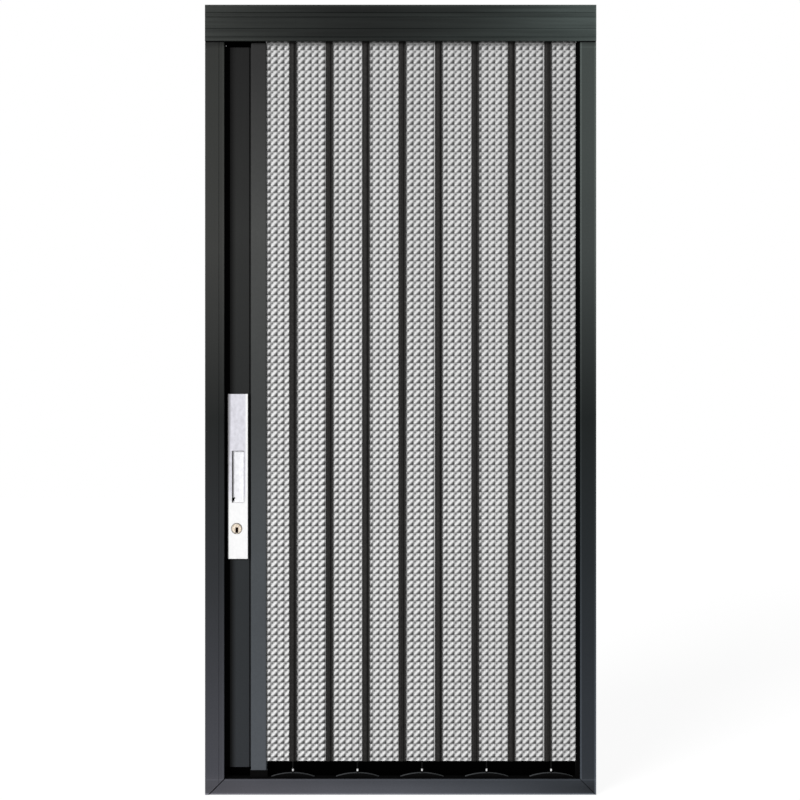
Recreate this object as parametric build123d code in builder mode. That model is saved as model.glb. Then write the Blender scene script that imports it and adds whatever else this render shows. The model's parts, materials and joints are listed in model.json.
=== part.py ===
"""Concertina screen door in its own frame, shown closed.

Millimetres, +Z up. X runs to the right and the front looks along -Y.
The origin is the middle of the sill's underside.
"""
import os
from math import cos, radians, sin

from build123d import *

os.makedirs("parts", exist_ok=True)

# Outer frame
frame_width = 1040.0
frame_height = 2100.0
frame_depth = 50.0
frame_wall = 2.0
frame_corner = 3.0
lip_depth = 5.0
lip_wall = 2.5
lip_radius = 3.5

# Head
head_height = 97.0
head_skin = 3.0
head_pocket = 57.0
head_corner = 2.5
head_back_drop = 18.0
head_groove_side = 1.7
head_groove_heights = (10.7, 33.2, 63.8, 75.8)
head_joint = 3.4
gasket_inset = 0.6

# Jambs
left_jamb_face = 51.3
right_jamb_face = 42.8
jamb_chamber = 16.0
jamb_groove_inset = 14.0
jamb_groove_side = 1.3

# Sill
sill_face = 41.7
sill_floor = 20.0
sill_back_height = 82.0
mitre_groove_side = 1.5

# Fixings through the jambs
fixing_hole = 7.0
fixing_access = 14.0
fixing_count = 4
fixing_first = 300.0
fixing_top = 199.6
fixing_inset = 9.0
drill_margin = 2.0

# Folding leaf
leaf_y = -4.0
leaf_foot = 85.8
leaf_head = 9.0
hinge_count = 8
hinge_width = 19.8
first_slat = 60.2
last_slat = 64.0

# Slats
slat_depth = 5.0
slat_edge = 1.5
slat_tongue = 2.2
slat_gap = 0.1
tongue_gap = 0.15

# Hinge profiles
socket_radius = 6.4
socket_wall = 1.5
bead_gap = 0.3
bead_neck = 2.6
bead_bore = 3.0
hinge_flange = 8.0
hinge_open_from = -107.0
hinge_open_to = 22.0

# Closing stile
stile_wall = 1.6
stile_back = 12.0
stile_gap = 12.7
lock_stile_width = 51.2
lock_stile_front = 0.0
lock_stile_foot = 68.5
lock_stile_drop = 11.5
stile_groove = 5.8
cover_stile_width = 41.4
cover_stile_front = -10.0
cover_stile_foot = 62.7
cover_stile_drop = 1.7
cover_stile_corner = 3.0
stile_tongue = 3.0
stile_tongue_reach = 4.0
stile_tongue_gap = 0.2

# Rubber nose of the stile
nose_reach = 24.0
nose_front = 0.4
nose_depth = 11.2
nose_corner = 5.0
nose_tongue = 4.0

# Lock furniture
lock_overhang = 4.6
lock_width = 53.4
lock_height = 440.0
lock_foot = 625.5
lock_depth = 11.0
lock_wall = 1.5
lock_corner = 1.2
pull_width = 32.0
pull_height = 137.5
pull_side = 11.0
pull_foot = 150.5
pull_wall = 1.2
pull_depth = 6.0
pull_gap = 0.5
pull_floor_gap = 0.2
pull_hole = 4.4
pull_hole_side = 5.8
pull_hole_foot = 11.5
cylinder_diameter = 29.0
cylinder_side = 23.6
cylinder_foot = 81.0
cylinder_proud = 1.0
cylinder_gap = 0.5
plug_diameter = 24.0
plug_gap = 0.05
plug_proud = 0.4
key_slot_width = 5.0
key_slot_height = 13.0
key_slot_depth = 11.0
key_slot_drop = 4.5

# Top track and hangers
track_width = 28.0
track_height = 26.0
track_wall = 2.0
track_slot = 9.0
track_end_gap = 8.0
hanger_stem = 6.0
hanger_axle = 7.0
hanger_every = 2
wheel_diameter = 14.0
wheel_width = 6.0
wheel_gauge = 14.0
running_gap = 0.3

# Bottom rail, guide shoes and pins
rail_width = 16.0
rail_wall = 1.6
rail_slot = 7.0
rail_height = 24.7
shoe_count = 5
shoe_length = 115.0
shoe_height = 9.5
shoe_width = 12.0
shoe_keel_length = 40.0
shoe_keel_width = 5.0
shoe_keel_depth = 9.0
last_shoe_offset = 9.0
pin_diameter = 5.0
pin_seat = 5.0
pin_gap = 0.05

# End channel in the right jamb
end_channel_reach = 10.5
end_channel_width = 20.0
end_channel_wall = 1.6

# Stile foot and carrier
plug_clearance = 0.3
plug_height = 20.0
foot_overhang = 2.4
foot_width = 14.0

# Places worked out from the sizes above
x_left = -frame_width / 2
x_right = frame_width / 2
y_front = -frame_depth / 2
y_back = frame_depth / 2
x_open_left = x_left + left_jamb_face
x_open_right = x_right - right_jamb_face
z_head = frame_height - head_height
z_jamb = z_head - head_joint
z_web = z_head + head_pocket
x_web_right = x_right - jamb_chamber - frame_wall
x_channel = x_open_right - end_channel_reach
x_lock = x_open_left + stile_gap
x_lock_end = x_lock + lock_stile_width
x_cover = x_lock_end + stile_groove
x_cover_end = x_cover + cover_stile_width
half_hinge = hinge_width / 2
x_first_hinge = x_cover_end + first_slat + half_hinge
x_last_hinge = x_channel - last_slat - half_hinge
hinge_pitch = (x_last_hinge - x_first_hinge) / (hinge_count - 1)
hinges = [x_first_hinge + i * hinge_pitch for i in range(hinge_count)]
z_leaf_top = z_head + leaf_head
leaf_height = z_leaf_top - leaf_foot
bead_radius = socket_radius - socket_wall - bead_gap
bead_flange_start = socket_radius + bead_gap
rail_top = sill_floor + rail_height
shoe_foot = rail_top + running_gap
shoe_top = shoe_foot + shoe_height
x_last_shoe = x_last_hinge + last_shoe_offset
shoe_pitch = (x_last_shoe - x_first_hinge) / (shoe_count - 1)
shoes = [x_first_hinge + i * shoe_pitch for i in range(shoe_count)]
fixing_spacing = (z_jamb - fixing_top - fixing_first) / (fixing_count - 1)
fixings = [fixing_first + i * fixing_spacing for i in range(fixing_count)]
y_fixing = y_back - fixing_inset
x_plate = x_lock - lock_overhang
y_plate = lock_stile_front - lock_depth
x_pull = x_plate + pull_side
z_pull = lock_foot + pull_foot
x_cylinder = x_plate + cylinder_side
z_cylinder = lock_foot + cylinder_foot
x_stile_plug = (x_cover + x_cover_end) / 2
z_track = z_web - track_height
z_axle = z_track + track_wall + running_gap + wheel_diameter / 2

# Cutting planes of the two mitres between the jambs and the sill
left_mitre = Plane(origin=(x_open_left, 0, sill_face), z_dir=(-1, 0, 1))
right_mitre = Plane(origin=(x_open_right, 0, sill_face), z_dir=(1, 0, 1))


def slab(x0, y0, x1, y1, mode=Mode.ADD):
    """Add or cut the rectangle between two corners of a sketch."""
    with Locations(((x0 + x1) / 2, (y0 + y1) / 2)):
        Rectangle(abs(x1 - x0), abs(y1 - y0), mode=mode)


def corner(sketch, x, y):
    """Find the corner of a sketch that lies nearest to a point."""
    return sketch.vertices().sort_by_distance((x, y, 0))[0]


def jamb_section(sketch, x_wall, side, face):
    """Draw a jamb from the wall towards the opening: chamber, pocket and lips."""
    x_web = x_wall + side * jamb_chamber
    x_pocket = x_web + side * frame_wall
    x_edge = x_wall + side * face
    slab(x_wall, y_front, x_edge, y_back)
    slab(x_wall + side * frame_wall, y_front + frame_wall, x_web, y_back - frame_wall, Mode.SUBTRACT)
    slab(x_pocket, y_front + frame_wall, x_edge, y_back - frame_wall, Mode.SUBTRACT)
    slab(x_edge - side * lip_wall, y_front, x_edge, y_front + lip_depth)
    slab(x_edge - side * lip_wall, y_back - lip_depth, x_edge, y_back)
    fillet(corner(sketch, x_edge, y_front), lip_radius)
    for y in (y_front, y_back):
        fillet(corner(sketch, x_wall, y), frame_corner)


def fixing_holes(x_wall, side):
    """Drill the fixing holes through the wall side and their access holes through the web."""
    places = [(y_fixing, z) for z in fixings]
    with BuildSketch(Plane.YZ.offset(x_wall)) as holes:
        with Locations(*places):
            Circle(fixing_hole / 2)
    extrude(holes.sketch, amount=side * (frame_wall + drill_margin), mode=Mode.SUBTRACT)
    with BuildSketch(Plane.YZ.offset(x_wall + side * (jamb_chamber - drill_margin))) as access:
        with Locations(*places):
            Circle(fixing_access / 2)
    extrude(access.sketch, amount=side * (frame_wall + 2 * drill_margin), mode=Mode.SUBTRACT)


def mitre_groove(x_open, side):
    """Cut the fine groove along the front of a mitre, from the opening's corner outwards."""
    start = Plane(origin=(x_open, y_front, sill_face), x_dir=(0, 1, 0), z_dir=(-side, 0, -1))
    with BuildSketch(start) as cut:
        Rectangle(mitre_groove_side, mitre_groove_side, rotation=45)
    extrude(cut.sketch, amount=2 * sill_face, both=True, mode=Mode.SUBTRACT)


# Left jamb: the pocket takes the nose of the closing stile
with BuildPart() as left_jamb:
    with BuildSketch(Plane.XY) as section:
        jamb_section(section, x_left, 1, left_jamb_face)
        with Locations((x_open_left - jamb_groove_inset, y_front)):
            Rectangle(jamb_groove_side, jamb_groove_side, rotation=45, mode=Mode.SUBTRACT)
    extrude(amount=z_jamb)
    split(bisect_by=left_mitre, keep=Keep.TOP)
    mitre_groove(x_open_left, 1)
    fixing_holes(x_left, 1)
left_jamb.part.label = "left_jamb"
export_step(left_jamb.part, "parts/left_jamb.step")

# Right jamb: the pocket takes the end channel of the leaf
with BuildPart() as right_jamb:
    with BuildSketch(Plane.XY) as section:
        jamb_section(section, x_right, -1, right_jamb_face)
    extrude(amount=z_jamb)
    split(bisect_by=right_mitre, keep=Keep.TOP)
    mitre_groove(x_open_right, -1)
    fixing_holes(x_right, -1)
right_jamb.part.label = "right_jamb"
export_step(right_jamb.part, "parts/right_jamb.step")

# Sill: closed underside, open trough and a taller flange at the back
with BuildPart() as sill:
    with BuildSketch(Plane.YZ.offset(x_left)) as section:
        slab(y_front, 0, y_back, sill_face)
        slab(y_front + frame_wall, frame_wall, y_back - frame_wall, sill_floor - frame_wall, Mode.SUBTRACT)
        slab(y_front + frame_wall, sill_floor, y_back - frame_wall, sill_face, Mode.SUBTRACT)
        slab(y_front, sill_face - lip_wall, y_front + lip_depth, sill_face)
        fillet(corner(section, y_front, sill_face), lip_radius)
        for y in (y_front, y_back):
            fillet(corner(section, y, 0), frame_corner)
    extrude(amount=frame_width)
    split(bisect_by=left_mitre, keep=Keep.BOTTOM)
    split(bisect_by=right_mitre, keep=Keep.BOTTOM)
    mitre_groove(x_open_left, 1)
    mitre_groove(x_open_right, -1)
    with BuildSketch(Plane.YZ.offset(x_open_left)):
        slab(y_back - frame_wall, sill_floor, y_back, sill_back_height)
    extrude(amount=x_open_right - x_open_left)
sill.part.label = "sill"
export_step(sill.part, "parts/sill.step")

# Head: grooved front, closed chamber above and a pocket for the track below
with BuildPart() as head:
    with BuildSketch(Plane.YZ.offset(x_left)) as section:
        slab(y_front, z_head, y_back, frame_height)
        slab(y_front + head_skin, z_head, y_back - frame_wall, z_web, Mode.SUBTRACT)
        slab(
            y_front + head_skin,
            z_web + frame_wall,
            y_back - frame_wall,
            frame_height - frame_wall,
            Mode.SUBTRACT,
        )
        for z in (z_head, frame_height):
            fillet(corner(section, y_front, z), head_corner)
        with Locations(*[(y_front, z_head + rise) for rise in head_groove_heights]):
            Rectangle(head_groove_side, head_groove_side, rotation=45, mode=Mode.SUBTRACT)
    extrude(amount=frame_width)
    with BuildSketch(Plane.YZ.offset(x_open_left)):
        slab(y_back - frame_wall, z_head - head_back_drop, y_back, z_web)
    extrude(amount=x_open_right - x_open_left)
head.part.label = "head"
export_step(head.part, "parts/head.step")

# Rubber pads between the head and the two jambs
with BuildPart() as head_gaskets:
    with BuildSketch(Plane.XY.offset(z_jamb)):
        slab(x_left + gasket_inset, y_front + gasket_inset, x_open_left - gasket_inset, y_back - gasket_inset)
        slab(x_open_right + gasket_inset, y_front + gasket_inset, x_right - gasket_inset, y_back - gasket_inset)
    extrude(amount=head_joint)
head_gaskets.part.label = "head_gaskets"
export_step(head_gaskets.part, "parts/head_gaskets.step")

# Top track: a C rail that hangs from the web of the head
with BuildPart() as top_track:
    with BuildSketch(Plane.YZ.offset(x_left + track_end_gap)):
        slab(leaf_y - track_width / 2, z_track, leaf_y + track_width / 2, z_web)
        slab(
            leaf_y - track_width / 2 + track_wall,
            z_track + track_wall,
            leaf_y + track_width / 2 - track_wall,
            z_web - track_wall,
            Mode.SUBTRACT,
        )
        slab(leaf_y - track_slot / 2, z_track, leaf_y + track_slot / 2, z_track + track_wall, Mode.SUBTRACT)
    extrude(amount=frame_width - 2 * track_end_gap)
top_track.part.label = "top_track"
export_step(top_track.part, "parts/top_track.step")

# Bottom rail: a slotted channel in the sill's trough
with BuildPart() as bottom_rail:
    with BuildSketch(Plane.YZ.offset(x_open_left)):
        slab(leaf_y - rail_width / 2, sill_floor, leaf_y + rail_width / 2, rail_top)
        slab(
            leaf_y - rail_width / 2 + rail_wall,
            sill_floor + rail_wall,
            leaf_y + rail_width / 2 - rail_wall,
            rail_top - rail_wall,
            Mode.SUBTRACT,
        )
        slab(leaf_y - rail_slot / 2, rail_top - rail_wall, leaf_y + rail_slot / 2, rail_top, Mode.SUBTRACT)
    extrude(amount=x_channel - x_open_left)
bottom_rail.part.label = "bottom_rail"
export_step(bottom_rail.part, "parts/bottom_rail.step")

# End channel: holds the last slat in the right jamb
with BuildPart() as end_channel:
    with BuildSketch(Plane.XY.offset(sill_floor)):
        slab(x_channel, leaf_y - end_channel_width / 2, x_web_right, leaf_y + end_channel_width / 2)
        slab(
            x_channel + end_channel_wall,
            leaf_y - end_channel_width / 2 + end_channel_wall,
            x_web_right - end_channel_wall,
            leaf_y + end_channel_width / 2 - end_channel_wall,
            Mode.SUBTRACT,
        )
        slab(
            x_channel,
            leaf_y - slat_edge / 2 - tongue_gap,
            x_channel + end_channel_wall,
            leaf_y + slat_edge / 2 + tongue_gap,
            Mode.SUBTRACT,
        )
    extrude(amount=z_jamb - sill_floor)
end_channel.part.label = "end_channel"
export_step(end_channel.part, "parts/end_channel.step")

# Lock stile: the set-back half of the closing stile, with a tongue into the cover stile
stile_middle = (lock_stile_front + stile_back) / 2
with BuildPart() as lock_stile:
    with BuildSketch(Plane.XY.offset(lock_stile_foot)):
        slab(x_lock, lock_stile_front, x_lock_end, stile_back)
        slab(
            x_lock + stile_wall,
            lock_stile_front + stile_wall,
            x_lock_end - stile_wall,
            stile_back - stile_wall,
            Mode.SUBTRACT,
        )
        slab(
            x_lock,
            stile_middle - nose_tongue / 2 - tongue_gap,
            x_lock + stile_wall,
            stile_middle + nose_tongue / 2 + tongue_gap,
            Mode.SUBTRACT,
        )
        slab(
            x_lock_end,
            stile_middle - stile_tongue / 2,
            x_cover + stile_tongue_reach,
            stile_middle + stile_tongue / 2,
        )
    extrude(amount=z_head - lock_stile_drop - lock_stile_foot)
    with BuildSketch(Plane.XZ.offset(-lock_stile_front)):
        with Locations((x_cylinder, z_cylinder)):
            Circle(cylinder_diameter / 2 + cylinder_gap)
    extrude(amount=-stile_wall, mode=Mode.SUBTRACT)
lock_stile.part.label = "lock_stile"
export_step(lock_stile.part, "parts/lock_stile.step")

def groove(x_face, side, y, thickness, depth, gap):
    """Add a walled groove behind the cover stile's side, for a tongue with a gap around it."""
    half_groove = thickness / 2 + gap
    half_block = half_groove + stile_wall
    slab(x_face, y - half_block, x_face + side * (depth + gap + stile_wall), y + half_block)
    slab(x_face, y - half_groove, x_face + side * (depth + gap), y + half_groove, Mode.SUBTRACT)


# Cover stile: the forward half, which carries the first slat
with BuildPart() as cover_stile:
    with BuildSketch(Plane.XY.offset(cover_stile_foot)) as section:
        slab(x_cover, cover_stile_front, x_cover_end, stile_back)
        for x in (x_cover, x_cover_end):
            fillet(corner(section, x, cover_stile_front), cover_stile_corner)
        slab(
            x_cover + stile_wall,
            cover_stile_front + stile_wall,
            x_cover_end - stile_wall,
            stile_back - stile_wall,
            Mode.SUBTRACT,
        )
        groove(x_cover, 1, stile_middle, stile_tongue, stile_tongue_reach, stile_tongue_gap)
        groove(x_cover_end, -1, leaf_y, slat_edge, slat_tongue, tongue_gap)
    extrude(amount=z_head - cover_stile_drop - cover_stile_foot)
cover_stile.part.label = "cover_stile"
export_step(cover_stile.part, "parts/cover_stile.step")

# Nose seal: the black rubber edge that enters the left jamb
with BuildPart() as nose_seal:
    with BuildSketch(Plane.XY.offset(lock_stile_foot)) as section:
        slab(x_lock - nose_reach, nose_front, x_lock, nose_front + nose_depth)
        for y in (nose_front, nose_front + nose_depth):
            fillet(corner(section, x_lock - nose_reach, y), nose_corner)
        slab(
            x_lock,
            stile_middle - nose_tongue / 2,
            x_lock + stile_wall,
            stile_middle + nose_tongue / 2,
        )
    extrude(amount=z_head - lock_stile_drop - lock_stile_foot)
nose_seal.part.label = "nose_seal"
export_step(nose_seal.part, "parts/nose_seal.step")

# Lock cover: a shell over the lock stile with openings for the pull and the cylinder
with BuildPart() as lock_cover:
    with BuildSketch(Plane.XZ.offset(-lock_stile_front)):
        slab(x_plate, lock_foot, x_plate + lock_width, lock_foot + lock_height)
    extrude(amount=lock_depth)
    fillet(lock_cover.faces().sort_by(Axis.Y)[0].edges(), lock_corner)
    with BuildSketch(Plane.XZ.offset(-lock_stile_front)):
        slab(
            x_plate + lock_wall,
            lock_foot + lock_wall,
            x_plate + lock_width - lock_wall,
            lock_foot + lock_height - lock_wall,
        )
    extrude(amount=lock_depth - lock_wall, mode=Mode.SUBTRACT)
    with BuildSketch(Plane.XZ.offset(-lock_stile_front)):
        slab(
            x_pull - pull_gap,
            z_pull - pull_gap,
            x_pull + pull_width + pull_gap,
            z_pull + pull_height + pull_gap,
        )
        with Locations((x_cylinder, z_cylinder)):
            Circle(cylinder_diameter / 2 + cylinder_gap)
    extrude(amount=lock_depth, mode=Mode.SUBTRACT)
lock_cover.part.label = "lock_cover"
export_step(lock_cover.part, "parts/lock_cover.step")

# Finger pull: a cup set into the lock cover
with BuildPart() as finger_pull:
    with BuildSketch(Plane.XZ.offset(-lock_stile_front + pull_floor_gap)):
        slab(x_pull, z_pull, x_pull + pull_width, z_pull + pull_height)
    extrude(amount=lock_depth - pull_floor_gap)
    with BuildSketch(Plane.XZ.offset(-y_plate)):
        slab(
            x_pull + pull_wall,
            z_pull + pull_wall,
            x_pull + pull_width - pull_wall,
            z_pull + pull_height - pull_wall,
        )
    extrude(amount=-pull_depth, mode=Mode.SUBTRACT)
    with BuildSketch(Plane.XZ.offset(-y_plate)):
        with Locations((x_pull + pull_hole_side, z_pull + pull_hole_foot)):
            Circle(pull_hole / 2)
    extrude(amount=-lock_depth, mode=Mode.SUBTRACT)
finger_pull.part.label = "finger_pull"
export_step(finger_pull.part, "parts/finger_pull.step")

# Lock cylinder: a sleeve through the lock cover and the front of the lock stile
with BuildPart() as lock_cylinder:
    with BuildSketch(Plane.XZ.offset(-(stile_back - stile_wall))):
        with Locations((x_cylinder, z_cylinder)):
            Circle(cylinder_diameter / 2)
            Circle(plug_diameter / 2 + plug_gap, mode=Mode.SUBTRACT)
    extrude(amount=stile_back - stile_wall - y_plate + cylinder_proud)
    chamfer(lock_cylinder.faces().sort_by(Axis.Y)[0].edges().sort_by(SortBy.RADIUS)[-1], cylinder_proud / 2)
lock_cylinder.part.label = "lock_cylinder"
export_step(lock_cylinder.part, "parts/lock_cylinder.step")

# Key plug: turns in the cylinder and carries the key slot
with BuildPart() as key_plug:
    with BuildSketch(Plane.XZ.offset(-(stile_back - stile_wall - running_gap))):
        with Locations((x_cylinder, z_cylinder)):
            Circle(plug_diameter / 2)
    extrude(amount=stile_back - stile_wall - running_gap - y_plate + cylinder_proud + plug_proud)
    with BuildSketch(Plane.XZ.offset(-y_plate + cylinder_proud + plug_proud)):
        with Locations((x_cylinder, z_cylinder - key_slot_drop)):
            SlotOverall(key_slot_height, key_slot_width, rotation=90)
    extrude(amount=-key_slot_depth, mode=Mode.SUBTRACT)
key_plug.part.label = "key_plug"
export_step(key_plug.part, "parts/key_plug.step")


def stile_plug(z_start):
    """Add the block that fits in the end of the cover stile's hollow, between its grooves."""
    left_groove = stile_tongue_reach + stile_tongue_gap + stile_wall
    right_groove = slat_tongue + tongue_gap + stile_wall
    with BuildSketch(Plane.XY.offset(z_start)) as block:
        slab(
            x_cover + left_groove + plug_clearance,
            cover_stile_front + stile_wall + plug_clearance,
            x_cover_end - right_groove - plug_clearance,
            stile_back - stile_wall - plug_clearance,
        )
    extrude(block.sketch, amount=plug_height)


def hanger(x, z_start):
    """Add a stem from a piece's top, with the axle and the two wheels that run in the track."""
    with Locations((x, leaf_y, z_axle)):
        Cylinder(hanger_axle / 2, wheel_gauge, rotation=(90, 0, 0))
    with Locations(*[(x, leaf_y + side * wheel_gauge / 2, z_axle) for side in (-1, 1)]):
        Cylinder(wheel_diameter / 2, wheel_width, rotation=(90, 0, 0))
    with Locations((x, leaf_y, (z_start + z_axle) / 2)):
        Cylinder(hanger_stem / 2, z_axle - z_start)


# Stile carrier: block, stem and wheels that hang the closing stile from the track
z_cover_top = z_head - cover_stile_drop
with BuildPart() as stile_carrier:
    stile_plug(z_cover_top - plug_height)
    hanger(x_stile_plug, z_cover_top)
stile_carrier.part.label = "stile_carrier"
export_step(stile_carrier.part, "parts/stile_carrier.step")

# Stile foot: block under the cover stile with a keel in the bottom rail
with BuildPart() as stile_foot:
    with BuildSketch(Plane.XY.offset(shoe_foot)):
        slab(
            x_cover - foot_overhang,
            leaf_y - foot_width / 2,
            x_cover_end + foot_overhang,
            leaf_y + foot_width / 2,
        )
    extrude(amount=cover_stile_foot - shoe_foot)
    stile_plug(cover_stile_foot)
    with BuildSketch(Plane.XY.offset(shoe_foot - shoe_keel_depth)):
        slab(
            x_cover,
            leaf_y - shoe_keel_width / 2,
            x_cover_end,
            leaf_y + shoe_keel_width / 2,
        )
    extrude(amount=shoe_keel_depth)
stile_foot.part.label = "stile_foot"
export_step(stile_foot.part, "parts/stile_foot.step")

# Slats: embossed sheets whose flat edges slide into the hinge profiles
left_edges = [x_cover_end] + [x + half_hinge for x in hinges]
right_edges = [x - half_hinge for x in hinges] + [x_channel]
for number, (x0, x1) in enumerate(zip(left_edges, right_edges), start=1):
    with BuildPart() as slat:
        with BuildSketch(Plane.XY.offset(leaf_foot)):
            slab(x0 + slat_gap, leaf_y - slat_depth / 2, x1 - slat_gap, leaf_y + slat_depth / 2)
            slab(x0 - slat_tongue, leaf_y - slat_edge / 2, x1 + slat_tongue, leaf_y + slat_edge / 2)
        extrude(amount=leaf_height)
    slat.part.label = f"slat_{number}"
    export_step(slat.part, f"parts/slat_{number}.step")


def hinge_opening(x, turn):
    """Cut the mouth of a socket, towards the front (turn 1) or the back (turn -1)."""
    reach = 2 * socket_radius
    middle = (hinge_open_from + hinge_open_to) / 2
    corners = [(x, leaf_y)]
    for angle in (hinge_open_from, middle, hinge_open_to):
        corners.append((x + reach * cos(radians(angle)), leaf_y + turn * reach * sin(radians(angle))))
    with BuildLine() as mouth:
        Polyline(*corners, close=True)
    make_face(mouth.edges(), mode=Mode.SUBTRACT)


# Hinge sockets: a grooved flange for the slat on the left and a C tube for the bead
for number, x in enumerate(hinges, start=1):
    turn = -1 if number % 2 else 1
    with BuildPart() as hinge_socket:
        with BuildSketch(Plane.XY.offset(leaf_foot)):
            slab(x - half_hinge, leaf_y - hinge_flange / 2, x, leaf_y + hinge_flange / 2)
            with Locations((x, leaf_y)):
                Circle(socket_radius)
                Circle(socket_radius - socket_wall, mode=Mode.SUBTRACT)
            hinge_opening(x, turn)
            slab(
                x - half_hinge,
                leaf_y - slat_edge / 2 - tongue_gap,
                x - half_hinge + slat_tongue + tongue_gap,
                leaf_y + slat_edge / 2 + tongue_gap,
                Mode.SUBTRACT,
            )
        extrude(amount=leaf_height)
    hinge_socket.part.label = f"hinge_socket_{number}"
    export_step(hinge_socket.part, f"parts/hinge_socket_{number}.step")

# Hinge beads: a bored rod in each socket, a neck and a grooved flange for the slat on the right
with BuildPart() as hinge_beads:
    with BuildSketch(Plane.XY.offset(leaf_foot)):
        for x in hinges:
            with Locations((x, leaf_y)):
                Circle(bead_radius)
            slab(x, leaf_y - bead_neck / 2, x + half_hinge, leaf_y + bead_neck / 2)
            slab(
                x + bead_flange_start,
                leaf_y - hinge_flange / 2,
                x + half_hinge,
                leaf_y + hinge_flange / 2,
            )
            slab(
                x + half_hinge - slat_tongue - tongue_gap,
                leaf_y - slat_edge / 2 - tongue_gap,
                x + half_hinge,
                leaf_y + slat_edge / 2 + tongue_gap,
                Mode.SUBTRACT,
            )
            with Locations((x, leaf_y)):
                Circle(bead_bore / 2, mode=Mode.SUBTRACT)
    extrude(amount=leaf_height)
hinge_beads.part.label = "hinge_beads"
export_step(hinge_beads.part, "parts/hinge_beads.step")

# Top hangers: one on every second hinge
with BuildPart() as top_hangers:
    for x in hinges[hanger_every - 1 :: hanger_every]:
        hanger(x, z_leaf_top)
top_hangers.part.label = "top_hangers"
export_step(top_hangers.part, "parts/top_hangers.step")

# Guide shoes: bow-shaped sliders on the bottom rail, each with a keel in its slot
with BuildPart() as guide_shoes:
    for x in shoes:
        with BuildSketch(Plane.XZ.offset(-leaf_y - shoe_width / 2)):
            with BuildLine():
                Line((x - shoe_length / 2, shoe_foot), (x + shoe_length / 2, shoe_foot))
                ThreePointArc((x + shoe_length / 2, shoe_foot), (x, shoe_top), (x - shoe_length / 2, shoe_foot))
            make_face()
        extrude(amount=shoe_width)
        with BuildSketch(Plane.XY.offset(shoe_foot - shoe_keel_depth)):
            slab(
                x - shoe_keel_length / 2,
                leaf_y - shoe_keel_width / 2,
                x + shoe_keel_length / 2,
                leaf_y + shoe_keel_width / 2,
            )
        extrude(amount=shoe_keel_depth)
        with BuildSketch(Plane.XY.offset(shoe_top - pin_seat)):
            with Locations((x, leaf_y)):
                Circle(pin_diameter / 2 + pin_gap)
        extrude(amount=pin_seat, mode=Mode.SUBTRACT)
guide_shoes.part.label = "guide_shoes"
export_step(guide_shoes.part, "parts/guide_shoes.step")

# Guide pins: from the shoes up to the foot of the leaf
with BuildPart() as guide_pins:
    with BuildSketch(Plane.XY.offset(shoe_top - pin_seat)):
        with Locations(*[(x, leaf_y) for x in shoes]):
            Circle(pin_diameter / 2)
    extrude(amount=leaf_foot - shoe_top + pin_seat)
guide_pins.part.label = "guide_pins"
export_step(guide_pins.part, "parts/guide_pins.step")
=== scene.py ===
"""Looks of the concertina screen door: finishes, embossed slats, light and camera.

Metres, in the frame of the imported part: +Z up, the front looks along -Y.
"""
import json
import math

import bpy
import numpy as np
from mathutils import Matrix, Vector

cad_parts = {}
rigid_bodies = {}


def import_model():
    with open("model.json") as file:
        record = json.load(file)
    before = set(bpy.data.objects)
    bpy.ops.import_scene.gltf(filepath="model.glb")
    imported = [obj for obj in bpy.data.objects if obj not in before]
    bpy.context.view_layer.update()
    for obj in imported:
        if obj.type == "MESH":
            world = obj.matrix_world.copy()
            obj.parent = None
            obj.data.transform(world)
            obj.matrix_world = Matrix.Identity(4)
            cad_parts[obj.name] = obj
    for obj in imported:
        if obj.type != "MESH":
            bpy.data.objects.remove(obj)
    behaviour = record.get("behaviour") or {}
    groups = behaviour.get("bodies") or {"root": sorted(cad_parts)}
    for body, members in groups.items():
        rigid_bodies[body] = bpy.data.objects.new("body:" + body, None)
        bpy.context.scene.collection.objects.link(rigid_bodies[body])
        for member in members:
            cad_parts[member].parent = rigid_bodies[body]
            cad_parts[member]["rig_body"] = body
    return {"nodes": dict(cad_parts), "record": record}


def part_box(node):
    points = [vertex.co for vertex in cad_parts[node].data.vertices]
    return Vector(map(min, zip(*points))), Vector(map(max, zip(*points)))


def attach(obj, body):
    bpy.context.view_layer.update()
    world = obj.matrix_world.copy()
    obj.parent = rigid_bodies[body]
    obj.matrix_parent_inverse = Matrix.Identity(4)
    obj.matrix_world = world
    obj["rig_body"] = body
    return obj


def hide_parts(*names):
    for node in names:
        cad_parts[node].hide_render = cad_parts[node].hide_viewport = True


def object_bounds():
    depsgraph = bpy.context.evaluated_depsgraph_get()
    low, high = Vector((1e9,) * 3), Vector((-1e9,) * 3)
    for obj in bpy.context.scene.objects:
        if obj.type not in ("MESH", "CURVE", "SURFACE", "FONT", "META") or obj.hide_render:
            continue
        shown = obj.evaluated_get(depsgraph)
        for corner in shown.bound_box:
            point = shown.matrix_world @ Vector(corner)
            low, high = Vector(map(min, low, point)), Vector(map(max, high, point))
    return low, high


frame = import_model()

cad_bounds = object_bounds()
nodes = frame["nodes"]
body_of = {name: node["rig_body"] for name, node in nodes.items()}

# Embossing of the slats: the size of a cell, and a corner that all the slats share
CELL = 0.01816
CELL_X = -0.00104
CELL_Z = 1.0565
FRONT_STEPS = 8
BACK_STEPS = 4
CREST_SAMPLES = 101

# Sheet of the slats, and the flat edges that slide into the hinge profiles
SHEET = 0.0012
RELIEF = 0.0038
TONGUE = 0.0023
TONGUE_THICKNESS = 0.0015
HEM = 0.0002
EDGE_FADE = 0.0008
SHARP_FROM = 60.0

# One boss in its cell of unit size, from the upper left to the lower right
RISE_FROM = 0.33
RISE = 0.81
FLANK_RIGHT = 0.3
FLANK_LOW = 0.355
TAPER = 0.62
EDGE = 0.26
SOFTNESS = 0.103
DIMPLE_U = 0.19
DIMPLE_V = 0.178
DIMPLE_SIZE = 0.105
DIMPLE_DEPTH = 0.07

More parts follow.
